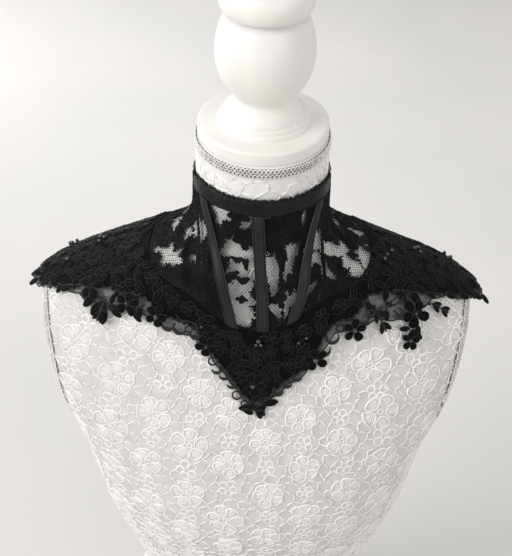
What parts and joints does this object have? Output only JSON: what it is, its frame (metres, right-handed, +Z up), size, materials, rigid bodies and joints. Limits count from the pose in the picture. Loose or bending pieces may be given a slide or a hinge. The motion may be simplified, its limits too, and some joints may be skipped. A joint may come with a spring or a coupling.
{
  "type": "lace neck corset on dress form",
  "caption": "Boned lace neck corset with stand collar, centre point and scalloped shoulder caps, worn on a limbless lace-covered dress form with a turned finial.",
  "frame": {"origin": "centre of the whole part's outline seen from above, on the flat base that the form stands on", "axes": "+Z up, front towards -Y, the wearer's right at -X"},
  "size_m": [0.3894, 0.2276, 0.8578],
  "materials": {
    "black_net": "fine even net with woven flowers",
    "black_corded_lace": "matt corded lace",
    "black_satin": "soft satin",
    "black_hook_wire": "black enamelled wire",
    "white_lace_cover": "white flower lace over padding",
    "white_braid": "looped cotton braid",
    "white_painted_wood": "white satin paint over turned wood"
  },
  "bodies": {
    "root": {"gore_back_left": "black_net", "gore_back_right": "black_net", "gore_front_left": "black_net", "gore_front_right": "black_net", "gore_shoulder_left": "black_net", "gore_shoulder_right": "black_net", "gore_side_left": "black_net", "gore_side_right": "black_net", "flower_chest_left": "black_corded_lace", "flower_chest_right": "black_corded_lace", "flower_hang_left": "black_corded_lace", "flower_hang_right": "black_corded_lace", "flower_pearl_right": "black_corded_lace", "flower_spray_left": "black_corded_lace", "flower_vee_left": "black_corded_lace", "flower_vee_right": "black_corded_lace", "flower_vee_tip": "black_corded_lace", "lace_back_left": "black_corded_lace", "lace_back_right": "black_corded_lace", "lace_front": "black_corded_lace", "lace_shoulder_left": "black_corded_lace", "lace_shoulder_right": "black_corded_lace", "spray_chest_left": "black_corded_lace", "spray_hang_right": "black_corded_lace", "spray_outer_left": "black_corded_lace", "spray_vee_point": "black_corded_lace", "back_tape_left": "black_satin", "back_tape_right": "black_satin", "bone_centre": "black_satin", "bone_left": "black_satin", "bone_right": "black_satin", "collar_binding": "black_satin", "hook_1": "black_hook_wire", "hook_2": "black_hook_wire", "hook_3": "black_hook_wire", "hook_4": "black_hook_wire", "form_body": "white_lace_cover", "arm_braid_left": "white_braid", "arm_braid_right": "white_braid", "neck_braid": "white_braid", "finial": "white_painted_wood"}
  },
  "joints": []
}
